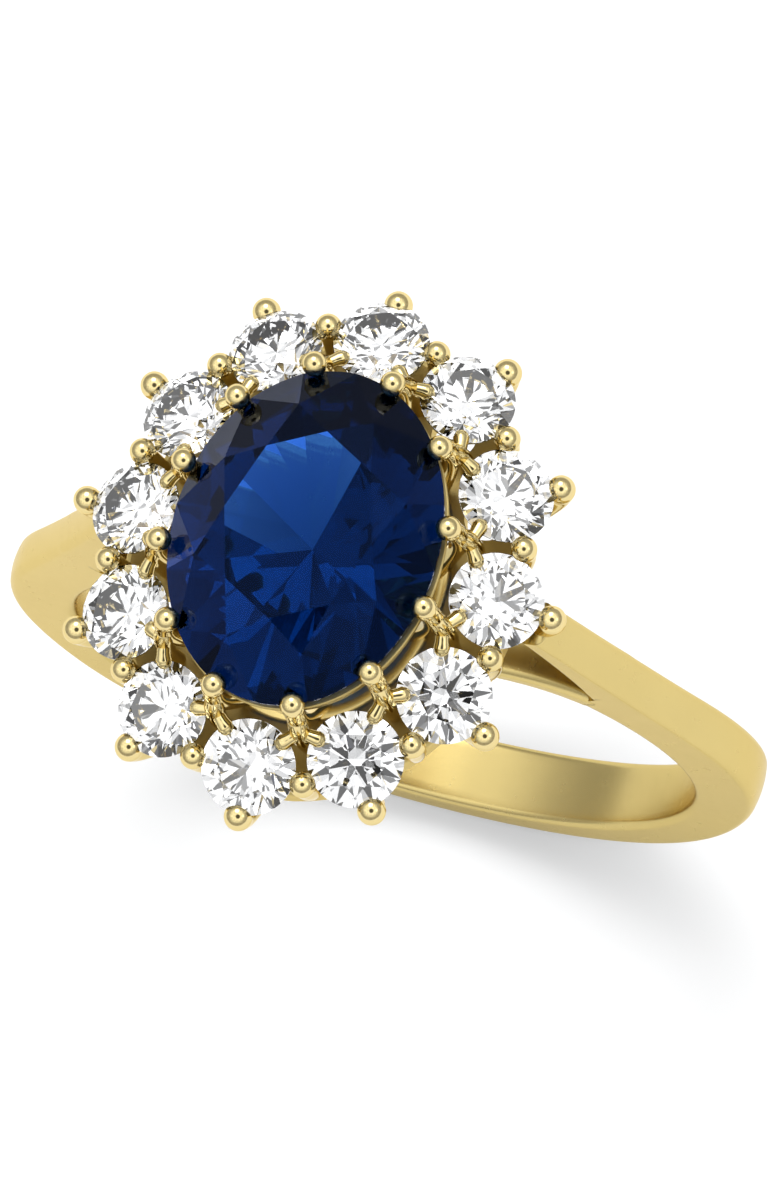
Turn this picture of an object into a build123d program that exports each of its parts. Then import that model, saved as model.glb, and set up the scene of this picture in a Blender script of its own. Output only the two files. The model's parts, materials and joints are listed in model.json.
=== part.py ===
"""Oval cluster ring: a 9 x 7 mm oval centre stone inside twelve 2.5 mm round stones.

Millimetres. The origin is the centre of the finger hole, +Y runs along the finger,
and +Z points up through the middle of the head.
"""
from build123d import *
from math import cos, radians, sin, tan
import os

os.makedirs("parts", exist_ok=True)

# ---- finger band -------------------------------------------------------------
FINGER_RADIUS = 8.65          # 17.3 mm hole, US size 7
BOTTOM_THICKNESS = 1.31       # metal under the finger
SIDE_THICKNESS = 1.65         # metal beside the finger
BRIDGE_THICKNESS = 0.8        # finger rail that passes under the head
BAND_WIDTHS = [               # (half width, height) up the tapering band
    (0.96, -12.0), (0.96, -8.0), (0.88, -5.0), (0.72, -2.0),
    (0.62, 2.0), (0.57, 5.0), (0.57, 9.0), (0.57, 13.0),
]
BRIDGE_WIDTHS = [(7.5, 0.57), (6.2, 0.6), (4.6, 0.8), (2.6, 1.2), (0.0, 1.4)]  # (x, half width)
SHOULDER_LEAN = 25.2          # degrees the cathedral arm leans in from vertical
CROTCH_ANGLE = 44.0           # elevation where arm and finger rail part
ARM_TOP_HEIGHT = 11.45        # where the arm's outer face stops, just under the outer claw
ARM_TIP = (5.65, 11.62)       # the arm's highest corner
ARM_INNER = [(5.66, 10.6), (5.98, 9.6), (6.42, 8.4)]   # its lower edge, down to the crotch

# ---- head --------------------------------------------------------------------
STONES = 12
STEP = 360 / STONES
HALO_OVAL = (4.93, 5.86)      # oval through the centres of the round stones
HALO_HEIGHT = 12.64           # their girdles, at the centre
HALO_TILT = 20.0              # degrees each round stone leans outward
CENTRE_CLAW_OVAL, CENTRE_CLAW_HEIGHT, CENTRE_BALL = (3.7, 4.6), 14.58, 0.3
OUTER_CLAW_OVAL, OUTER_CLAW_HEIGHT, OUTER_BALL = (6.3, 7.02), 12.25, 0.33
SHARED_CLAW_OVAL, SHARED_CLAW_HEIGHT, SHARED_BALL = (5.37, 6.18), 12.63, 0.32
SPLIT_CLAW_OVAL, SPLIT_CLAW_HEIGHT = (4.2, 5.12), 12.7
SPLIT_REACH, SPLIT_RISE = 0.46, 0.36      # each tip's sideways reach and rise from the fork
PLATE_HEIGHT, PLATE_THICKNESS = 10.7, 0.6
PLATE_OUTER, PLATE_INNER = (5.2, 6.13), (3.2, 4.1)
PLATE_HOLE_RADIUS = 0.6       # open back under each round stone
BASE_OVAL, BASE_WIDTH, BASE_LOW, BASE_HIGH = (2.45, 3.25), 0.8, 8.7, 10.0
RAIL_OVAL, RAIL_WIDTH, RAIL_LOW, RAIL_HIGH = (3.15, 4.1), 0.4, 12.75, 13.15
SEAT_LOW, SEAT_HIGH = -0.62, -0.2         # seat ring, measured down from a round stone's girdle
WIRE_SEAM = Vector(0.31, 0.95, 0)         # side of a claw wire that its surface's seam lies on

# ---- stones, as fractions of the girdle radius -------------------------------
TABLE, STAR_TIP, LOWER_TIP = 0.57, 0.763, 0.23
CROWN_SLOPE, PAVILION_SLOPE = tan(radians(34.5)), tan(radians(40.75))
ROUND_RADIUS, ROUND_GIRDLE = 1.25, 0.07
OVAL_RADII, OVAL_GIRDLE = (3.5, 4.5), 0.16
OVAL_CROWN, OVAL_PAVILION = 1.15, 3.0     # heights above and below the girdle
OVAL_HEIGHT = 14.2            # middle of the centre stone's girdle
CLEARANCE = 0.015             # gap between a stone and the metal that holds it


def write(shape, name):
    shape.label = name
    export_step(shape, f"parts/{name}.step")


def oval_plane(oval, height, angle, tilt=0.0):
    """Plane at an equal-spacing angle round an oval, x along the oval, z up and tilted outward."""
    edge = Edge.make_ellipse(*oval, plane=Plane.XY.offset(height))
    share = (angle % 360) / 360
    along = edge % share
    outward = along.cross(Vector(0, 0, 1))
    up = outward * sin(radians(tilt)) + Vector(0, 0, cos(radians(tilt)))
    return Plane(origin=edge @ share, x_dir=along, z_dir=up)


def facet(azimuth, reach, slope, level, radii, stretch, side):
    """Plane of one facet, laid out on a stone of radius 1 and stretched to the real stone.

    It meets the girdle's edge at reach from the axis, and climbs inward by slope.
    """
    across, along = cos(radians(azimuth)), sin(radians(azimuth))
    normal = Vector(slope * across / radii[0], slope * along / radii[1], side / stretch)
    edge = Vector(reach * across * radii[0], reach * along * radii[1], level)
    return Plane(origin=edge, z_dir=normal)


def facet_planes(radii, crown, pavilion, girdle):
    """Planes that cut a brilliant: table, eight mains, eight stars, and the halves at the girdle."""
    half = cos(radians(22.5))
    chord = cos(radians(11.25))
    table_rise = (1 - TABLE) * CROWN_SLOPE
    star_rise = (1 - STAR_TIP * half) * CROWN_SLOPE
    star_slope = (table_rise - star_rise) / (STAR_TIP - TABLE * half)
    star_reach = STAR_TIP + star_rise / star_slope
    upper_slope = star_rise / (chord * (1 - STAR_TIP))
    lower_slope = (1 - LOWER_TIP * half) * PAVILION_SLOPE / (chord * (1 - LOWER_TIP))
    up, down = crown / table_rise, pavilion / PAVILION_SLOPE
    top, bottom = girdle / 2, -girdle / 2

    planes = [Plane.XY.offset(top + crown)]
    for azimuth in range(0, 360, 45):
        planes.append(facet(azimuth, 1, CROWN_SLOPE, top, radii, up, 1))
        planes.append(facet(azimuth + 22.5, star_reach, star_slope, top, radii, up, 1))
        planes.append(facet(azimuth, 1, PAVILION_SLOPE, bottom, radii, down, -1))
        for side in (11.25, 33.75):
            planes.append(facet(azimuth + side, chord, upper_slope, top, radii, up, 1))
            planes.append(facet(azimuth + side, chord, lower_slope, bottom, radii, down, -1))
    return planes


def stone_burr(radii, crown, pavilion, girdle):
    """Plain double cone just larger than a stone, which cuts its seat in the metal."""
    wide = tuple(radius + CLEARANCE for radius in radii)
    table = tuple(radius * TABLE + 4 * CLEARANCE for radius in radii)
    culet = tuple(radius * 0.03 for radius in radii)
    top, bottom = girdle / 2 + CLEARANCE, -girdle / 2 - CLEARANCE
    sections = [
        Plane.XY.offset(bottom - pavilion) * Ellipse(*culet),
        Plane.XY.offset(bottom) * Ellipse(*wide),
        Plane.XY.offset(top) * Ellipse(*wide),
        Plane.XY.offset(top + crown) * Ellipse(*table),
    ]
    return loft(sections, ruled=True)


def tapered_wire(stations):
    """Round tapering wire through (point, radius) stations."""
    with BuildPart() as run:
        for index, (point, radius) in enumerate(stations):
            before = stations[max(index - 1, 0)][0]
            after = stations[min(index + 1, len(stations) - 1)][0]
            with BuildSketch(Plane(origin=point, x_dir=WIRE_SEAM, z_dir=after - before)):
                Circle(radius)
        loft()
    return run.part


def whole_piece(claw):
    """The claw without the slivers that its stone's burr leaves behind."""
    return claw.part.solids().sort_by(SortBy.VOLUME)[-1]


def point_at(oval, height, angle):
    return oval_plane(oval, height, angle).origin


# ---- stones ------------------------------------------------------------------
ROUND_RADII = (ROUND_RADIUS, ROUND_RADIUS)
ROUND_CROWN = (1 - TABLE) * CROWN_SLOPE * ROUND_RADIUS
ROUND_PAVILION = PAVILION_SLOPE * ROUND_RADIUS

with BuildPart() as sapphire:
    with BuildSketch(Plane.XY):
        Ellipse(*OVAL_RADII)
    extrude(amount=OVAL_RADII[0], both=True)
    for cut in facet_planes(OVAL_RADII, OVAL_CROWN, OVAL_PAVILION, OVAL_GIRDLE):
        split(bisect_by=cut, keep=Keep.BOTTOM)

with BuildPart() as brilliant:
    with BuildSketch(Plane.XY):
        Circle(ROUND_RADIUS)
    extrude(amount=ROUND_RADIUS, both=True)
    for cut in facet_planes(ROUND_RADII, ROUND_CROWN, ROUND_PAVILION, ROUND_GIRDLE):
        split(bisect_by=cut, keep=Keep.BOTTOM)

halo_planes = [oval_plane(HALO_OVAL, HALO_HEIGHT, STEP * n, HALO_TILT) for n in range(STONES)]
write(Pos(0, 0, OVAL_HEIGHT) * sapphire.part, "sapphire")
for number, plane in enumerate(halo_planes, start=1):
    write(plane.location * brilliant.part, f"diamond_{number:02d}")

oval_burr = stone_burr(OVAL_RADII, OVAL_CROWN, OVAL_PAVILION, OVAL_GIRDLE)
oval_burr = Pos(0, 0, OVAL_HEIGHT) * oval_burr
round_burr = stone_burr(ROUND_RADII, ROUND_CROWN, ROUND_PAVILION, ROUND_GIRDLE)
burrs = [plane.location * round_burr for plane in halo_planes]

# ---- finger band with its two cathedral shoulders ------------------------------
low_radius = FINGER_RADIUS + BOTTOM_THICKNESS
circle_rise = ((FINGER_RADIUS + SIDE_THICKNESS) ** 2 - low_radius ** 2) / (2 * low_radius)
outer_radius = low_radius + circle_rise
lean = radians(SHOULDER_LEAN)
arm_start = Vector(outer_radius * cos(lean), circle_rise + outer_radius * sin(lean))
arm_top = Vector(arm_start.X - (ARM_TOP_HEIGHT - arm_start.Y) * tan(lean), ARM_TOP_HEIGHT)
crotch_direction = Vector(cos(radians(CROTCH_ANGLE)), sin(radians(CROTCH_ANGLE)))
rail_radius = FINGER_RADIUS + BRIDGE_THICKNESS
crotch, rail_end = crotch_direction * rail_radius, crotch_direction * FINGER_RADIUS
plate_edge = PLATE_OUTER[0]
plate_top = PLATE_HEIGHT + PLATE_THICKNESS

with BuildPart() as shank:
    with BuildSketch(Plane.XZ):
        with BuildLine():
            RadiusArc((0, -low_radius), arm_start, -outer_radius)
            Line(arm_start, arm_top)
            Polyline(arm_top, ARM_TIP, (plate_edge, plate_top), (plate_edge, PLATE_HEIGHT))
            Spline((plate_edge, PLATE_HEIGHT), *ARM_INNER, crotch)
            Line(crotch, rail_end)
            ThreePointArc(rail_end, (FINGER_RADIUS, 0), (0, -FINGER_RADIUS))
            Line((0, -FINGER_RADIUS), (0, -low_radius))
        make_face()
        mirror(about=Plane.YZ)
    extrude(amount=BAND_WIDTHS[0][0] * 2, both=True)
    with BuildSketch(Plane.YZ):
        with BuildLine():
            Spline(*BAND_WIDTHS)
            Polyline(BAND_WIDTHS[-1], (0, BAND_WIDTHS[-1][1]), (0, BAND_WIDTHS[0][1]), BAND_WIDTHS[0])
        make_face()
        mirror(about=Plane.YZ)
    extrude(amount=2 * FINGER_RADIUS, both=True, mode=Mode.INTERSECT)

# ---- finger rail under the head ------------------------------------------------
with BuildPart() as bridge:
    with BuildSketch(Plane.XZ):
        with BuildLine():
            ThreePointArc(rail_end, (0, FINGER_RADIUS), (-rail_end.X, rail_end.Y))
            Line((-rail_end.X, rail_end.Y), (-crotch.X, crotch.Y))
            ThreePointArc((-crotch.X, crotch.Y), (0, rail_radius), crotch)
            Line(crotch, rail_end)
        make_face()
    extrude(amount=BRIDGE_WIDTHS[-1][1] * 2, both=True)
    with BuildSketch(Plane.XY):
        with BuildLine():
            Spline(*BRIDGE_WIDTHS, tangents=[(-1, 0), (-1, 0)])
            Polyline(BRIDGE_WIDTHS[-1], (0, 0), (BRIDGE_WIDTHS[0][0], 0), BRIDGE_WIDTHS[0])
        make_face()
        mirror(about=Plane.XZ)
        mirror(about=Plane.YZ)
    extrude(amount=2 * FINGER_RADIUS, mode=Mode.INTERSECT)

# ---- oval rails of the head ----------------------------------------------------
with BuildPart() as base_ring:
    with BuildSketch(Plane.XY.offset(BASE_LOW)):
        Ellipse(BASE_OVAL[0] + BASE_WIDTH / 2, BASE_OVAL[1] + BASE_WIDTH / 2)
        Ellipse(BASE_OVAL[0] - BASE_WIDTH / 2, BASE_OVAL[1] - BASE_WIDTH / 2, mode=Mode.SUBTRACT)
    extrude(amount=BASE_HIGH - BASE_LOW)
    fillet(base_ring.edges().group_by(Axis.Z)[-1], 0.2)
    with BuildSketch(Plane.XZ):
        Circle(rail_radius)
    extrude(amount=2 * FINGER_RADIUS, both=True, mode=Mode.SUBTRACT)

with BuildPart() as basket_rail:
    with BuildSketch(Plane.XY.offset(RAIL_LOW)):
        Ellipse(RAIL_OVAL[0] + RAIL_WIDTH / 2, RAIL_OVAL[1] + RAIL_WIDTH / 2)
        Ellipse(RAIL_OVAL[0] - RAIL_WIDTH / 2, RAIL_OVAL[1] - RAIL_WIDTH / 2, mode=Mode.SUBTRACT)
    extrude(amount=RAIL_HIGH - RAIL_LOW)
    fillet(basket_rail.edges().group_by(Axis.Z)[-1], 0.12)
    add(oval_burr, mode=Mode.SUBTRACT)

plate_holes = [point_at(HALO_OVAL, PLATE_HEIGHT, STEP * n) for n in range(STONES)]
with BuildPart() as halo_plate:
    with BuildSketch(Plane.XY.offset(PLATE_HEIGHT)):
        Ellipse(*PLATE_OUTER)
        Ellipse(*PLATE_INNER, mode=Mode.SUBTRACT)
    extrude(amount=PLATE_THICKNESS)
    fillet(halo_plate.edges().group_by(Axis.Z)[-1], 0.15)
    with BuildSketch(Plane.XY.offset(PLATE_HEIGHT)):
        for hole in plate_holes:
            with Locations((hole.X * 0.86, hole.Y * 0.86)):
                Circle(PLATE_HOLE_RADIUS)
    extrude(amount=PLATE_THICKNESS, mode=Mode.SUBTRACT)
    add(shank.part, mode=Mode.SUBTRACT)

for rail, name in ((base_ring, "base_ring"), (basket_rail, "basket_rail"), (halo_plate, "halo_plate")):
    write(rail.part, name)
write(shank.part, "shank")
write(bridge.part, "finger_bridge")

# ---- seats under the round stones ----------------------------------------------
with BuildPart() as seat:
    with BuildSketch(Plane.XY.offset(SEAT_LOW)):
        Circle(ROUND_RADIUS * 0.78)
    with BuildSketch(Plane.XY.offset(SEAT_HIGH)):
        Circle(ROUND_RADIUS * 0.96)
    loft()
    Cylinder(radius=ROUND_RADIUS * 0.5, height=3, mode=Mode.SUBTRACT)
    add(round_burr, mode=Mode.SUBTRACT)
seats = [plane.location * seat.part for plane in halo_planes]

# ---- claws ---------------------------------------------------------------------
frame_parts = [base_ring.part, basket_rail.part, halo_plate.part, shank.part]


def near(angle):
    """Stones' burrs and seats on both sides of an angle."""
    low = int(angle // STEP) % STONES
    pair = {low, (low + (1 if angle % STEP else 0)) % STONES}
    return [burrs[n] for n in pair] + [seats[n] for n in pair]


def centre_claw(angle):
    tip = point_at(CENTRE_CLAW_OVAL, CENTRE_CLAW_HEIGHT, angle)
    stations = [
        (point_at(BASE_OVAL, BASE_HIGH - 0.3, angle), 0.26),
        (point_at((3.0, 3.85), 11.3, angle), 0.27),
        (point_at((3.52, 4.45), 12.9, angle), 0.27),
        (point_at((3.78, 4.68), 13.95, angle), 0.25),
        (tip, 0.24),
    ]
    stem = tapered_wire(stations)
    with BuildPart() as claw:
        add(stem)
        with Locations(tip):
            Sphere(CENTRE_BALL)
        add([*frame_parts, oval_burr, *near(angle)], mode=Mode.SUBTRACT)
    return whole_piece(claw)


def outer_claw(angle, oval, height, ball):
    tip = point_at(oval, height, angle)
    foot = tuple(radius - 0.35 for radius in PLATE_OUTER)
    middle = tuple(foot_radius + (radius - foot_radius) * 0.8 for foot_radius, radius in zip(foot, oval))
    stations = [
        (point_at(foot, PLATE_HEIGHT + 0.35, angle), 0.22),
        (point_at(middle, PLATE_HEIGHT + 0.35 + (height - PLATE_HEIGHT - 0.35) * 0.5, angle), 0.22),
        (tip, ball * 0.82),
    ]
    stem = tapered_wire(stations)
    with BuildPart() as claw:
        add(stem)
        with Locations(tip):
            Sphere(ball)
        add([*frame_parts, *near(angle)], mode=Mode.SUBTRACT)
    return whole_piece(claw)


def split_claw(angle):
    plane = oval_plane(SPLIT_CLAW_OVAL, SPLIT_CLAW_HEIGHT, angle)
    fork, along = plane.origin, plane.x_dir
    foot = point_at((3.95, 4.85), PLATE_HEIGHT + 0.3, angle)
    tips = [fork + along * (side * SPLIT_REACH) + Vector(0, 0, SPLIT_RISE) for side in (-1, 1)]
    prongs = [tapered_wire([(fork, 0.15), (tip, 0.11)]) for tip in tips]
    stem = tapered_wire([(foot, 0.19), (fork, 0.19)])
    with BuildPart() as claw:
        add(stem)
        with Locations(fork):
            Sphere(0.22)
        add(prongs)
        with Locations(*tips):
            Sphere(0.14)
        add([*frame_parts, *near(angle)], mode=Mode.SUBTRACT)
    return whole_piece(claw)


split_claws = []
for number in range(STONES):
    on_stone, between = STEP * number, STEP * (number + 0.5)
    pieces = {
        "centre_claw": centre_claw(between),
        "outer_claw": outer_claw(on_stone, OUTER_CLAW_OVAL, OUTER_CLAW_HEIGHT, OUTER_BALL),
        "shared_claw": outer_claw(between, SHARED_CLAW_OVAL, SHARED_CLAW_HEIGHT, SHARED_BALL),
    }
    split_claws.append(split_claw(between))
    for name, claw in pieces.items():
        write(claw, f"{name}_{number + 1:02d}")
write(Compound(children=seats), "stone_seats")
write(Compound(children=split_claws), "split_claws")
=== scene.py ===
"""Oval cluster ring in yellow gold: sapphire, twelve round brilliants, bead-tipped claws.

Shapes are worked out in millimetres in the CAD's frame and stored in metres.
"""
import json
import math

import bmesh
import bpy
import numpy as np
from mathutils import Matrix, Vector


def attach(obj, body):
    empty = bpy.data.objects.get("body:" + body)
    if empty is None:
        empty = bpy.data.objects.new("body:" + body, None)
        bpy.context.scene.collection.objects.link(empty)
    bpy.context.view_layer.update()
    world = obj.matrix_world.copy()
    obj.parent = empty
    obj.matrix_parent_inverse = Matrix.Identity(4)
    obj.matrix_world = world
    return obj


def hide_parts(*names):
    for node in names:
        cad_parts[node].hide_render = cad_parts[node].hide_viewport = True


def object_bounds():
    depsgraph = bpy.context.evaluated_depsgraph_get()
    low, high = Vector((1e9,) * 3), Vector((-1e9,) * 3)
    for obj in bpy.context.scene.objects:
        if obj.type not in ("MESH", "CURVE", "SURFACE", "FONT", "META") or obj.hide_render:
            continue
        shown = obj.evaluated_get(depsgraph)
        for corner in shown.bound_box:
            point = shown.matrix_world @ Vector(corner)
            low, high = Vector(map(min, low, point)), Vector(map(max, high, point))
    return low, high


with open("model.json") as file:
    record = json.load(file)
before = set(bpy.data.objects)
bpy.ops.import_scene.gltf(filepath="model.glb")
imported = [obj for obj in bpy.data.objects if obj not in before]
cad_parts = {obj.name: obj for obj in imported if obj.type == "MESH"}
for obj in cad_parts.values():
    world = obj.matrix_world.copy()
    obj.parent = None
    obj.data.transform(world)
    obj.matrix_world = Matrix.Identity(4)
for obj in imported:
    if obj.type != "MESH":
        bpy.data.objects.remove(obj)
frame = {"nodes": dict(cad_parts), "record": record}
cad_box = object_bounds()

MM = 0.001
STONES = 12
STEP = 360 / STONES

# ---- driving dimensions, in millimetres ----------------------------------------
# Ovals are (half width across the ring, half length along the finger).
FINGER_RADIUS = frame["record"]["mounts"][0]["dims"]["r_mm"]
BOTTOM_THICKNESS, SIDE_THICKNESS, BRIDGE_THICKNESS = 1.31, 1.65, 0.8
BAND_WIDTHS = [  # (height, half width) up the tapering band
    (-12.0, 1.0), (-8.0, 1.0), (-5.0, 0.92), (-2.0, 0.77), (2.0, 0.66), (5.0, 0.6), (13.0, 0.58),
]
BRIDGE_WIDTHS = [(0.0, 1.4), (2.6, 1.2), (4.6, 0.8), (6.2, 0.6), (7.5, 0.57)]  # (x, half width)
BRIDGE_INSET = 0.004  # keeps the finger rail's skin just inside the band's
SHOULDER_LEAN, CROTCH_ANGLE = math.radians(25.2), math.radians(44)
ARM_TOP_HEIGHT, ARM_TIP = 11.45, (5.45, 11.1)
ARM_INNER = [(5.66, 10.6), (5.98, 9.6), (6.42, 8.4)]  # (x, height) down the arm's lower edge
SHOULDER_FULLNESS, FULLEST_AT, FULLNESS_SPREAD = 0.2, 0.2, 0.45  # the last two in radians

HALO_OVAL, HALO_HEIGHT, HALO_TILT = (4.93, 5.86), 12.64, math.radians(20)
CENTRE_CLAW_OVAL, CENTRE_CLAW_HEIGHT, CENTRE_BEAD = (3.7, 4.6), 14.58, 0.33
CENTRE_WIRE = [((2.45, 3.25), 9.75), ((2.9, 3.75), 11.2), ((3.95, 4.9), 12.9)]  # (oval, height)
OUTER_CLAW_OVAL, OUTER_CLAW_HEIGHT, OUTER_BEAD = (6.35, 7.07), 12.12, 0.37
OUTER_FOOT_INSET, OUTER_FOOT_HEIGHT = 0.9, 10.5
SHARED_CLAW_OVAL, SHARED_CLAW_HEIGHT, SHARED_BEAD = (5.37, 6.18), 12.63, 0.34
SHARED_FOOT_INSET, SHARED_FOOT_HEIGHT = 0.45, 10.6
SPLIT_CLAW_OVAL, SPLIT_CLAW_HEIGHT, SPLIT_BEAD = (4.2, 5.12), 12.7, 0.2
SPLIT_FOOT, SPLIT_CROWN, SPLIT_NECK = ((3.95, 4.85), 11.0), ((4.08, 5.0), 13.2), ((3.86, 4.78), 14.0)
SPLIT_REACH, SPLIT_RISE = 0.47, 0.38
RAIL_OVAL, RAIL_HEIGHT = (3.15, 4.1), 12.95
RAIL_SECTION = [(-0.17, -0.2), (0.17, -0.2), (0.42, 0.78), (0.2, 0.78)]  # (outward, up)

TABLE, STAR_TIP, LOWER_TIP = 0.57, 0.763, 0.23
CROWN_SLOPE, PAVILION_SLOPE = math.tan(math.radians(34.5)), math.tan(math.radians(40.75))
ROUND_RADIUS, ROUND_GIRDLE = 1.25, 0.07
OVAL_RADII, OVAL_GIRDLE, OVAL_CROWN, OVAL_PAVILION = (3.5, 4.5), 0.16, 1.15, 3.0
OVAL_HEIGHT = 14.2
OVAL_SIDES, ROUND_SIDES = 96, 64


# ---- shared geometry --------------------------------------------------------------
def on_oval(oval, height, degrees):
    """Point and outward direction at an equal-spacing angle round an oval."""
    turns = np.linspace(0, 2 * np.pi, 1441)
    run = np.hypot(np.diff(oval[0] * np.cos(turns)), np.diff(oval[1] * np.sin(turns)))
    length = np.concatenate([[0], np.cumsum(run)])
    turn = float(np.interp((degrees % 360) / 360 * length[-1], length, turns))
    point = Vector((oval[0] * math.cos(turn), oval[1] * math.sin(turn), height))
    outward = Vector((math.cos(turn) / oval[0], math.sin(turn) / oval[1], 0)).normalized()
    return point, outward


def mesh_object(name, bm, smooth=True):
    """Turn a millimetre bmesh into an object in metres."""
    bmesh.ops.recalc_face_normals(bm, faces=bm.faces)
    mesh = bpy.data.meshes.new(name)
    bm.to_mesh(mesh)
    bm.free()
    mesh.transform(Matrix.Scale(MM, 4))
    mesh.polygons.foreach_set("use_smooth", [smooth] * len(mesh.polygons))
    piece = bpy.data.objects.new(name, mesh)
    bpy.context.scene.collection.objects.link(piece)
    return piece


def skin(loops, closed=False):
    """bmesh of quads through rings of points, with its two ends filled unless it is closed."""
    bm = bmesh.new()
    rows = [[bm.verts.new(point) for point in loop] for loop in loops]
    count = len(rows[0])
    pairs = list(zip(rows, rows[1:])) + ([(rows[-1], rows[0])] if closed else [])
    for low, high in pairs:
        for i in range(count):
            j = (i + 1) % count
            bm.faces.new((low[i], low[j], high[j], high[i]))
    if not closed:
        bm.faces.new(rows[0])
        bm.faces.new(rows[-1])
    return bm


def add_mesh(bm, extra):
    """Add the bmesh extra to bm and free it."""
    passing = bpy.data.meshes.new("passing")
    extra.to_mesh(passing)
    bm.from_mesh(passing)
    bpy.data.meshes.remove(passing)
    extra.free()


def finish_piece(piece, material, node):
    """Give a piece its material and slot, and let it stand in for its CAD node."""
    piece.data.materials.clear()
    piece.data.materials.append(material)
    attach(piece, "root")
    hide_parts(node)


# ---- materials ----------------------------------------------------------------------
def new_material(name):
    material = bpy.data.materials.new(name)
    material.use_nodes = True
    nodes, links = material.node_tree.nodes, material.node_tree.links
    return material, nodes, links, nodes["Principled BSDF"]


def noise(nodes, links, scale, detail):
    """Noise in the object's own space; scale is its cells per metre."""
    place = nodes.new("ShaderNodeTexCoord")
    texture = nodes.new("ShaderNodeTexNoise")
    texture.inputs["Scale"].default_value = scale
    texture.inputs["Detail"].default_value = detail
    links.new(place.outputs["Object"], texture.inputs["Vector"])
    return texture.outputs["Fac"]


def ramp(nodes, links, source, low, high):
    """Stretch a 0 to 1 value to run from low to high."""
    node = nodes.new("ShaderNodeMapRange")
    node.inputs["To Min"].default_value = low
    node.inputs["To Max"].default_value = high
    links.new(source, node.inputs["Value"])
    return node.outputs["Result"]


def blend(nodes, links, source, first, second):
    """Mix two colours by a 0 to 1 value."""
    node = nodes.new("ShaderNodeMix")
    node.data_type = "RGBA"
    node.inputs["A"].default_value = (*first, 1)
    node.inputs["B"].default_value = (*second, 1)
    links.new(source, node.inputs["Factor"])
    return node.outputs["Result"]


def gold(name, tones, low_rough, high_rough, grain, grain_depth):
    """Yellow gold: slow colour drift, uneven polish, and a grain (cells per metre, depth in mm)."""
    material, nodes, links, shader = new_material(name)
    drift = noise(nodes, links, 420, 2)
    polish = noise(nodes, links, 2600, 4)
    links.new(blend(nodes, links, drift, *tones), shader.inputs["Base Color"])
    links.new(ramp(nodes, links, polish, low_rough, high_rough), shader.inputs["Roughness"])
    shader.inputs["Metallic"].default_value = 1
    shader.inputs["Specular Tint"].default_value = (0.94, 0.85, 0.62, 1)
    bump = nodes.new("ShaderNodeBump")
    bump.inputs["Strength"].default_value = 0.5
    bump.inputs["Distance"].default_value = grain_depth * MM
    links.new(noise(nodes, links, grain, 5), bump.inputs["Height"])
    links.new(bump.outputs["Normal"], shader.inputs["Normal"])
    return material


def gem(name, index, tints, absorb=None):
    """Clear polished stone; absorb is (colour, density per metre) for a coloured one."""
    material, nodes, links, shader = new_material(name)
    zoning = noise(nodes, links, 350, 1)
    links.new(blend(nodes, links, zoning, *tints), shader.inputs["Base Color"])
    shader.inputs["Roughness"].default_value = 0
    shader.inputs["IOR"].default_value = index
    shader.inputs["Transmission Weight"].default_value = 1
    if absorb:
        volume = nodes.new("ShaderNodeVolumeAbsorption")
        volume.inputs["Color"].default_value = (*absorb[0], 1)
        volume.inputs["Density"].default_value = absorb[1]
        links.new(volume.outputs["Volume"], nodes["Material Output"].inputs["Volume"])
    return material


SATIN_TONES = (0.58, 0.455, 0.18), (0.63, 0.5, 0.205)
CAST_TONES = (0.59, 0.46, 0.18), (0.65, 0.51, 0.21)
# the polished tones are lighter than the satin ones: a painted highlight that whitens the beads' shine
POLISHED_HIGHLIGHT_TONES = (0.7, 0.57, 0.27), (0.76, 0.62, 0.31)
SAPPHIRE_TINTS, SAPPHIRE_ABSORPTION = ((0.09, 0.22, 0.95), (0.12, 0.28, 1.0)), ((0.27, 0.56, 0.63), 950)
DIAMOND_TINTS = (0.98, 0.985, 1.0), (1.0, 1.0, 1.0)

satin_gold = gold("satin gold", SATIN_TONES, 0.22, 0.3, 9000, 0.0015)
cast_gold = gold("cast gold", CAST_TONES, 0.4, 0.55, 6000, 0.006)
# polished claws and beads: low roughness, and their lighter tones are a painted highlight
polished_highlight_gold = gold("polished gold with painted highlight", POLISHED_HIGHLIGHT_TONES, 0.05, 0.12, 3000, 0.003)
sapphire_blue = gem("sapphire", 1.77, SAPPHIRE_TINTS, SAPPHIRE_ABSORPTION)
# the tent shows only faintly in the dark stone's faces
sapphire_shader = sapphire_blue.node_tree.nodes["Principled BSDF"]
sapphire_shader.inputs["Specular Tint"].default_value = (0.04, 0.1, 0.34, 1)
diamond_clear = gem("diamond", 2.42, DIAMOND_TINTS)


# ---- stones -------------------------------------------------------------------------
def facet(azimuth, reach, slope, level, radii, stretch, side):
    """Point and normal of a facet laid out on a stone of radius 1 and stretched to the real one."""
    across, along = math.cos(math.radians(azimuth)), math.sin(math.radians(azimuth))
    normal = Vector((slope * across / radii[0], slope * along / radii[1], side / stretch))
    return Vector((reach * across * radii[0], reach * along * radii[1], level)), normal.normalized()


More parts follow.
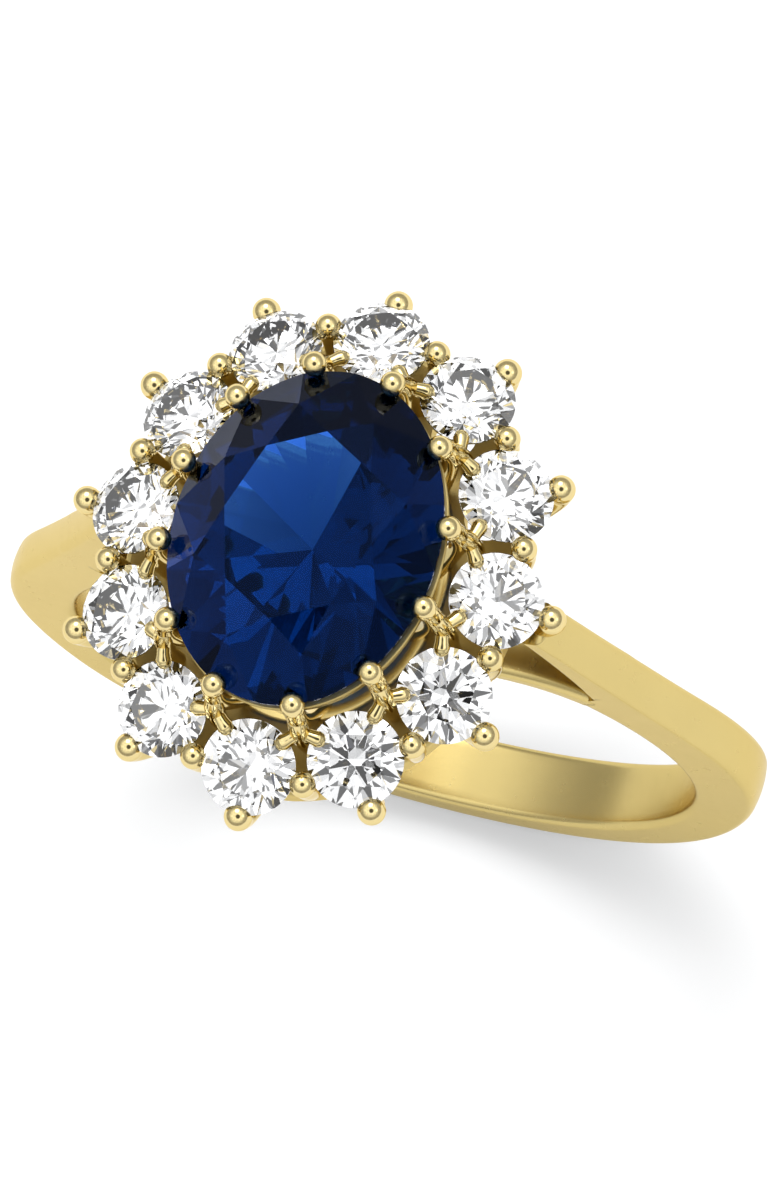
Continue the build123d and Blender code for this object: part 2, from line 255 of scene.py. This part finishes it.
def facets(radii, crown, pavilion, girdle):
    """Table, eight mains, eight stars and the halves at the girdle, crown and pavilion."""
    half, chord = math.cos(math.radians(22.5)), math.cos(math.radians(11.25))
    table_rise = (1 - TABLE) * CROWN_SLOPE
    star_rise = (1 - STAR_TIP * half) * CROWN_SLOPE
    star_slope = (table_rise - star_rise) / (STAR_TIP - TABLE * half)
    star_reach = STAR_TIP + star_rise / star_slope
    upper_slope = star_rise / (chord * (1 - STAR_TIP))
    lower_slope = (1 - LOWER_TIP * half) * PAVILION_SLOPE / (chord * (1 - LOWER_TIP))
    up, down = crown / table_rise, pavilion / PAVILION_SLOPE
    top, bottom = girdle / 2, -girdle / 2
    cuts = [(Vector((0, 0, top + crown)), Vector((0, 0, 1)))]
    for azimuth in range(0, 360, 45):
        cuts.append(facet(azimuth, 1, CROWN_SLOPE, top, radii, up, 1))
        cuts.append(facet(azimuth + 22.5, star_reach, star_slope, top, radii, up, 1))
        cuts.append(facet(azimuth, 1, PAVILION_SLOPE, bottom, radii, down, -1))
        for side in (11.25, 33.75):
            cuts.append(facet(azimuth + side, chord, upper_slope, top, radii, up, 1))
            cuts.append(facet(azimuth + side, chord, lower_slope, bottom, radii, down, -1))
    return cuts


def cut_stone(radii, crown, pavilion, girdle, sides):
    """Grind a stone out of an oval prism, one flat facet at a time."""
    turns = [2 * math.pi * (k + 0.5) / sides for k in range(sides)]
    reach = max(radii)
    rings = [[(radii[0] * math.cos(t), radii[1] * math.sin(t), z) for t in turns] for z in (-reach, reach)]
    bm = skin(rings)
    for point, normal in facets(radii, crown, pavilion, girdle):
        everything = list(bm.verts) + list(bm.edges) + list(bm.faces)
        cut = bmesh.ops.bisect_plane(
            bm, geom=everything, dist=1e-6, plane_co=point, plane_no=normal, clear_outer=True
        )
        rim = [item for item in cut["geom_cut"] if isinstance(item, bmesh.types.BMEdge)]
        bmesh.ops.edgenet_fill(bm, edges=rim)
    bmesh.ops.remove_doubles(bm, verts=bm.verts, dist=1e-4)
    return bm


def place_stone(bm, name, matrix, material, node):
    bm.transform(matrix)
    finish_piece(mesh_object(name, bm, smooth=False), material, node)


def stone_matrix(degrees):
    """Seat of a round stone: on the halo's oval, its axis leaning outward."""
    point, outward = on_oval(HALO_OVAL, HALO_HEIGHT, degrees)
    up = outward * math.sin(HALO_TILT) + Vector((0, 0, math.cos(HALO_TILT)))
    along = Vector((0, 0, 1)).cross(outward)
    rotation = Matrix((along, up.cross(along), up)).transposed().to_4x4()
    return Matrix.Translation(point) @ rotation


oval_stone = cut_stone(OVAL_RADII, OVAL_CROWN, OVAL_PAVILION, OVAL_GIRDLE, OVAL_SIDES)
oval_seat = Matrix.Translation((0, 0, OVAL_HEIGHT))
place_stone(oval_stone, "sapphire_cut", oval_seat, sapphire_blue, "sapphire")
round_stone = cut_stone(
    (ROUND_RADIUS, ROUND_RADIUS),
    (1 - TABLE) * CROWN_SLOPE * ROUND_RADIUS,
    PAVILION_SLOPE * ROUND_RADIUS,
    ROUND_GIRDLE,
    ROUND_SIDES,
)
for number in range(STONES):
    seat = stone_matrix(STEP * number)
    label = f"{number + 1:02d}"
    name, node = f"brilliant_{label}", f"diamond_{label}"
    place_stone(round_stone.copy(), name, seat, diamond_clear, node)
round_stone.free()


# ---- band and finger rail -----------------------------------------------------------
low_radius = FINGER_RADIUS + BOTTOM_THICKNESS
circle_rise = ((FINGER_RADIUS + SIDE_THICKNESS) ** 2 - low_radius**2) / (2 * low_radius)
outer_radius = low_radius + circle_rise
rail_radius = FINGER_RADIUS + BRIDGE_THICKNESS
arm_start = np.array([math.cos(SHOULDER_LEAN), math.sin(SHOULDER_LEAN)]) * outer_radius + [0, circle_rise]
arm_run = (ARM_TOP_HEIGHT - arm_start[1]) * math.tan(SHOULDER_LEAN)
arm_end = np.array([arm_start[0] - arm_run, ARM_TOP_HEIGHT])
crotch = np.array([math.cos(CROTCH_ANGLE), math.sin(CROTCH_ANGLE)]) * rail_radius


def smooth_table(table, x):
    """Value at x of a curve through (x, value) rows, rounded between them."""
    xs, ys = zip(*table)
    near = [np.interp(x + shift, xs, ys) for shift in np.linspace(-1.2, 1.2, 13)]
    return float(np.mean(near))


def rounded_section(inner, outer, inner_half, outer_half, corner=0.22, crown=0.11):
    """Ring of points round a band's section: flat sides, soft corners, a slightly domed outer face."""
    depth = float(np.linalg.norm(outer - inner))
    corner = min(corner, 0.4 * depth)
    corners = [(-inner_half, 0), (inner_half, 0), (outer_half, depth), (-outer_half, depth)]
    signs = [(1, 1), (-1, 1), (-1, -1), (1, -1)]
    starts = [180, 270, 0, 90]
    ring = []
    for (y, t), (sy, st), start in zip(corners, signs, starts):
        centre_y, centre_t = y + sy * corner, t + st * corner
        for k in range(9):
            turn = math.radians(start + 90 * k / 8)
            ring.append((centre_y + corner * math.cos(turn), centre_t + corner * math.sin(turn)))
    dense = []
    for (y0, t0), (y1, t1) in zip(ring, ring[1:] + ring[:1]):
        steps = 8 if math.hypot(y1 - y0, t1 - t0) > 0.1 else 1
        dense += [(y0 + (y1 - y0) * k / steps, t0 + (t1 - t0) * k / steps) for k in range(steps)]
    points = []
    for y, t in dense:
        fall = crown * (y / outer_half) ** 2 * max(2 * t / depth - 1, 0)
        x, z = inner + (outer - inner) * ((t - fall) / depth)
        points.append((x, y, z))
    return points


def arc(centre_z, radius, first, last, count):
    turns = np.linspace(first, last, count)
    return np.stack([radius * np.cos(turns), centre_z + radius * np.sin(turns)], 1)


def resample(path, count):
    """Path of 2-D points, evenly spaced."""
    length = np.concatenate([[0], np.cumsum(np.linalg.norm(np.diff(path, axis=0), axis=1))])
    wanted = np.linspace(0, length[-1], count)
    return np.stack([np.interp(wanted, length, path[:, k]) for k in (0, 1)], 1)


def bezier(points, count):
    """Points along a Bezier curve of any degree."""
    controls = np.array(points, float)
    degree = len(controls) - 1
    share = np.linspace(0, 1, count)[:, None]
    weights = [math.comb(degree, k) * share**k * (1 - share) ** (degree - k) for k in range(degree + 1)]
    return sum(weight * control for weight, control in zip(weights, controls))


def half_band():
    """Sections from the bottom of the band up to the tip of one cathedral shoulder."""
    lower = np.linspace(-math.pi / 2, CROTCH_ANGLE, 90)
    inside = arc(0, FINGER_RADIUS, -math.pi / 2, CROTCH_ANGLE, 90)
    round_part = arc(circle_rise, outer_radius, -math.pi / 2, SHOULDER_LEAN, 300)
    straight_part = resample(np.array([arm_start, arm_end]), 80)
    outside_path = np.concatenate([round_part, straight_part])
    # the shoulders are a little fuller than the circle and the straight arm
    bearing = np.arctan2(outside_path[:, 1], outside_path[:, 0])
    swell = np.exp(-(((bearing - FULLEST_AT) / FULLNESS_SPREAD) ** 2))
    fuller = 1 + SHOULDER_FULLNESS / outer_radius * swell
    outside_path = outside_path * fuller[:, None]
    # the outer point that faces each inner one, then both run up the arm side by side
    facing = []
    dense = resample(outside_path, 4000)
    bearing = np.arctan2(dense[:, 1], dense[:, 0])
    for turn in lower:
        facing.append(dense[np.argmin(np.abs(bearing - turn))])
    sections = list(zip(inside, facing))
    start = facing[-1]
    step = resample(np.array([inside[-1], crotch]), 6)[1:]
    inner_arm = bezier([crotch, ARM_INNER[2], ARM_INNER[1], ARM_INNER[0], ARM_TIP], 50)
    first = int(np.argmin(np.linalg.norm(dense - start, axis=1)))
    outer_arm = resample(dense[first:], 55)
    for inner, outer in zip(np.concatenate([step, inner_arm[1:]]), outer_arm[1:]):
        sections.append((inner, outer))
    return sections


def band_loops():
    right = half_band()
    loops = []
    for inner, outer in right:
        halves = [smooth_table(BAND_WIDTHS, height) for height in (inner[1], outer[1])]
        loops.append(rounded_section(inner, outer, *halves))
    left = [[(-x, y, z) for x, y, z in loop] for loop in loops[:0:-1]]
    return left + loops


def bridge_loops():
    """Finger rail under the head, its ends let a little way into the band."""
    overlap = math.radians(1.5)
    loops = []
    for turn in np.linspace(CROTCH_ANGLE - overlap, math.pi - CROTCH_ANGLE + overlap, 120):
        direction = np.array([math.cos(turn), math.sin(turn)])
        half = smooth_table(BRIDGE_WIDTHS, abs(direction[0]) * FINGER_RADIUS) - BRIDGE_INSET
        inner, outer = direction * (FINGER_RADIUS + BRIDGE_INSET), direction * rail_radius
        loops.append(rounded_section(inner, outer, half, half, crown=0.02))
    return loops


finish_piece(mesh_object("band", skin(band_loops())), satin_gold, "shank")
finish_piece(mesh_object("finger_rail", skin(bridge_loops())), satin_gold, "finger_bridge")


# ---- wires of the head --------------------------------------------------------------
def tube(path, radii, sides=24):
    """Rings round a path, square to it, with no twist."""
    path = [Vector(point) for point in path]
    across = None
    loops = []
    for index, point in enumerate(path):
        before, after = path[max(index - 1, 0)], path[min(index + 1, len(path) - 1)]
        direction = (after - before).normalized()
        if across is None:
            across = direction.orthogonal().normalized()
        across = (across - direction * across.dot(direction)).normalized()
        other = direction.cross(across)
        radius = max(radii[index], 1e-4)
        turns = [2 * math.pi * k / sides for k in range(sides)]
        loops.append([point + (across * math.cos(t) + other * math.sin(t)) * radius for t in turns])
    return loops


def bead_wire(controls, bead, foot_radius, neck_radius, count=60):
    """Claw wire along a Bezier curve that swells into a round bead at its end.

    The last control is the bead's centre.
    """
    curve = bezier(controls, 200)
    last = curve[-1] - curve[-2]
    end = curve[-1] + last / np.linalg.norm(last) * bead
    curve = np.concatenate([curve, [end]])
    length = np.concatenate([[0], np.cumsum(np.linalg.norm(np.diff(curve, axis=0), axis=1))])
    centre = length[-1] - bead
    # stations crowd together towards the end of the bead
    angles = np.linspace(-0.75 * math.pi / 2, math.pi / 2, 26)
    along_stem = np.linspace(0, centre - bead * 1.05, count - len(angles))
    stations = np.sort(np.concatenate([along_stem, centre + bead * np.sin(angles)]))
    points = np.stack([np.interp(stations, length, curve[:, k]) for k in range(3)], 1)
    stem = foot_radius + (neck_radius - foot_radius) * np.clip(stations / centre, 0, 1)
    sphere = np.sqrt(np.clip(bead**2 - (stations - centre) ** 2, 0, None))
    softness = 0.05
    joined = 0.5 * (stem + sphere + np.sqrt((stem - sphere) ** 2 + softness**2)) - softness * 0.25
    radii = np.where(stations > centre, sphere, joined)
    return skin(tube(points, radii))


def centre_claw(degrees):
    """Wire from the base ring up past the collet, its bead leaning in over the oval stone."""
    tip, outward = on_oval(CENTRE_CLAW_OVAL, CENTRE_CLAW_HEIGHT, degrees)
    wire = [on_oval(oval, height, degrees)[0] for oval, height in CENTRE_WIRE]
    lean = tip + outward * 0.35 - Vector((0, 0, 0.5))
    return bead_wire([*wire, lean, tip], CENTRE_BEAD, 0.26, 0.27)


def outer_claw(degrees, oval, height, bead, foot_inset, foot_height):
    """Steep wire past the gallery plate's rim, its bead lapping over a round stone."""
    tip, outward = on_oval(oval, height, degrees)
    foot = tip - outward * foot_inset
    foot.z = foot_height
    hip = foot.lerp(tip, 0.4) + outward * 0.12
    elbow = tip - Vector((0, 0, 0.5)) - outward * 0.02
    return bead_wire([foot, hip, elbow, tip], bead, 0.3, bead * 0.98)


OUTER_SHAPE = OUTER_CLAW_OVAL, OUTER_CLAW_HEIGHT, OUTER_BEAD, OUTER_FOOT_INSET, OUTER_FOOT_HEIGHT
SHARED_SHAPE = SHARED_CLAW_OVAL, SHARED_CLAW_HEIGHT, SHARED_BEAD, SHARED_FOOT_INSET, SHARED_FOOT_HEIGHT
for number in range(STONES):
    label = f"{number + 1:02d}"
    on_stone, gap = STEP * number, STEP * (number + 0.5)
    shapes = {
        "centre_claw": centre_claw(gap),
        "outer_claw": outer_claw(on_stone, *OUTER_SHAPE),
        "shared_claw": outer_claw(gap, *SHARED_SHAPE),
    }
    for name, bm in shapes.items():
        finish_piece(mesh_object(f"{name}_bead_{label}", bm), polished_highlight_gold, f"{name}_{label}")


def split_claw(degrees):
    """Fork behind a centre claw, whose two wedge tips lap the neighbouring round stones."""
    fork, outward = on_oval(SPLIT_CLAW_OVAL, SPLIT_CLAW_HEIGHT, degrees)
    along = Vector((0, 0, 1)).cross(outward)
    foot, crown, neck = (on_oval(*place, degrees)[0] for place in (SPLIT_FOOT, SPLIT_CROWN, SPLIT_NECK))
    stem = bezier([foot, fork, crown, neck], 24)
    radii = np.interp(np.linspace(0, 1, len(stem)), [0, 0.5, 0.8, 1], [0.19, 0.26, 0.27, 0.23])
    bm = skin(tube(stem, radii))
    for side in (-1, 1):
        tip = fork + along * (side * SPLIT_REACH) + Vector((0, 0, SPLIT_RISE)) + outward * 0.04
        bend = crown + along * (side * 0.28) - Vector((0, 0, 0.02)) + outward * 0.1
        add_mesh(bm, bead_wire([crown - outward * 0.06, bend, tip], SPLIT_BEAD, 0.17, 0.21, 40))
    return bm


forks = bmesh.new()
for number in range(STONES):
    add_mesh(forks, split_claw(STEP * (number + 0.5)))
finish_piece(mesh_object("fork_claws", forks), polished_highlight_gold, "split_claws")


def collet():
    """Rail under the centre stone's girdle: a low wall that flares with the stone and has rounded edges."""
    loops = []
    for degrees in np.linspace(0, 360, 180, endpoint=False):
        point, outward = on_oval(RAIL_OVAL, RAIL_HEIGHT, float(degrees))
        loop = []
        for corner, following in zip(RAIL_SECTION, RAIL_SECTION[1:] + RAIL_SECTION[:1]):
            for share in (0.12, 0.3, 0.5, 0.7, 0.88):
                across, rise = (a + (b - a) * share for a, b in zip(corner, following))
                loop.append(point + outward * across + Vector((0, 0, rise)))
        loops.append(loop)
    return skin(loops, closed=True)


finish_piece(mesh_object("oval_collet", collet()), cast_gold, "basket_rail")
for node in ("base_ring", "halo_plate", "stone_seats"):
    cad_piece = frame["nodes"][node]
    cad_piece.data.materials.clear()
    cad_piece.data.materials.append(cast_gold)


# ---- floor, light and camera ----------------------------------------------------------
FLOOR_WIDTH = 0.4
KEY_DIRECTION, FILL_DIRECTION, GLOW_DIRECTION = (-0.12, 0.5, 0.85), (0.75, 0.1, 0.6), (0.05, -0.1, 0.95)
BELOW_DISTANCE, BELOW_WIDTH, BELOW_POWER = 0.00965, 0.0044, 0.000036
VIEW_AZIMUTH, VIEW_ELEVATION, VIEW_ROLL = 0.803, 1.259, -0.525
VIEW_DISTANCE, VIEW_CENTRE, VIEW_LENS = 314.8, (-0.023, 2.227), 354.1


def make_floor():
    bm = bmesh.new()
    bmesh.ops.create_grid(bm, x_segments=1, y_segments=1, size=FLOOR_WIDTH / MM / 2)
    floor = mesh_object("floor", bm)
    floor.location.z = cad_box[0][2]
    material, nodes, links, shader = new_material("pale floor")
    tone = noise(nodes, links, 60, 2)
    paint = blend(nodes, links, tone, (0.93, 0.93, 0.93), (0.95, 0.95, 0.95))
    links.new(paint, shader.inputs["Base Color"])
    shader.inputs["Roughness"].default_value = 0.7
    shader.inputs["Emission Color"].default_value = (1, 1, 1, 1)
    shader.inputs["Emission Strength"].default_value = 0.13
    floor.data.materials.append(material)


def area_light(name, direction, distance, size, power):
    """Round light that faces the origin from a direction; a negative distance faces away from it."""
    data = bpy.data.lights.new(name, "AREA")
    data.shape = "DISK"
    data.size = size
    data.energy = power
    light = bpy.data.objects.new(name, data)
    bpy.context.scene.collection.objects.link(light)
    aim = Vector(direction).normalized()
    light.location = aim * distance
    light.rotation_euler = aim.to_track_quat("Z", "Y").to_euler()


def view_axes():
    """Right, up and back directions of the camera."""
    level = Vector((math.cos(VIEW_AZIMUTH), math.sin(VIEW_AZIMUTH), 0))
    ahead = Vector((-level.y, level.x, 0))
    back = Vector((0, 0, math.sin(VIEW_ELEVATION))) - ahead * math.cos(VIEW_ELEVATION)
    upward = back.cross(level)
    right = level * math.cos(VIEW_ROLL) + upward * math.sin(VIEW_ROLL)
    up = upward * math.cos(VIEW_ROLL) - level * math.sin(VIEW_ROLL)
    return right, up, back


def make_camera():
    right, up, back = view_axes()
    data = bpy.data.cameras.new("camera")
    data.lens = VIEW_LENS
    data.sensor_width = 36
    data.clip_start = 0.01
    camera = bpy.data.objects.new("camera", data)
    bpy.context.scene.collection.objects.link(camera)
    place = (back * VIEW_DISTANCE + right * VIEW_CENTRE[0] + up * VIEW_CENTRE[1]) * MM
    rotation = Matrix((right, up, back)).transposed().to_4x4()
    camera.matrix_world = Matrix.Translation(place) @ rotation
    bpy.context.scene.camera = camera


def towards(nodes, links, direction, near, far, at_near, at_far):
    """Value that changes smoothly between two angles (degrees) away from a direction in the sky."""
    place = nodes.new("ShaderNodeTexCoord")
    dot = nodes.new("ShaderNodeVectorMath")
    dot.operation = "DOT_PRODUCT"
    dot.inputs[1].default_value = Vector(direction).normalized()
    links.new(place.outputs["Generated"], dot.inputs[0])
    change = nodes.new("ShaderNodeMapRange")
    change.interpolation_type = "SMOOTHSTEP"
    change.inputs["From Min"].default_value = math.cos(math.radians(far))
    change.inputs["From Max"].default_value = math.cos(math.radians(near))
    change.inputs["To Min"].default_value = at_far
    change.inputs["To Max"].default_value = at_near
    links.new(dot.outputs["Value"], change.inputs["Value"])
    return change.outputs["Result"]


def make_world():
    """White tent, brightest overhead, with a dark opening where the photographer stands."""
    world = bpy.data.worlds.new("tent")
    bpy.context.scene.world = world
    world.use_nodes = True
    nodes, links = world.node_tree.nodes, world.node_tree.links
    opening = towards(nodes, links, view_axes()[2], 14, 21, 0.08, 1.0)
    glow = towards(nodes, links, GLOW_DIRECTION, 36, 74, 1.45, 0.5)
    place = nodes.new("ShaderNodeTexCoord")
    folds = nodes.new("ShaderNodeTexNoise")
    folds.inputs["Scale"].default_value = 7
    links.new(place.outputs["Generated"], folds.inputs["Vector"])
    cloth = ramp(nodes, links, folds.outputs["Fac"], 0.2, 1.8)
    light = cloth
    for factor in (opening, glow):
        product = nodes.new("ShaderNodeMath")
        product.operation = "MULTIPLY"
        links.new(light, product.inputs[0])
        links.new(factor, product.inputs[1])
        light = product.outputs["Value"]
    links.new(light, nodes["Background"].inputs["Strength"])
    nodes["Background"].inputs["Color"].default_value = (0.99, 0.995, 1.0, 1)


make_floor()
make_camera()
make_world()
area_light("key", KEY_DIRECTION, 0.35, 0.2, 0.29)
area_light("fill", FILL_DIRECTION, 0.4, 0.12, 0.04)
area_light("under the centre stone", (0, 0, -1), -BELOW_DISTANCE, BELOW_WIDTH, BELOW_POWER)
bpy.context.scene.view_settings.view_transform = "Standard"
bpy.context.scene.cycles.caustics_reflective = False
bpy.context.scene.cycles.caustics_refractive = False
bpy.context.scene.cycles.max_bounces = 16
bpy.context.scene.cycles.transmission_bounces = 16
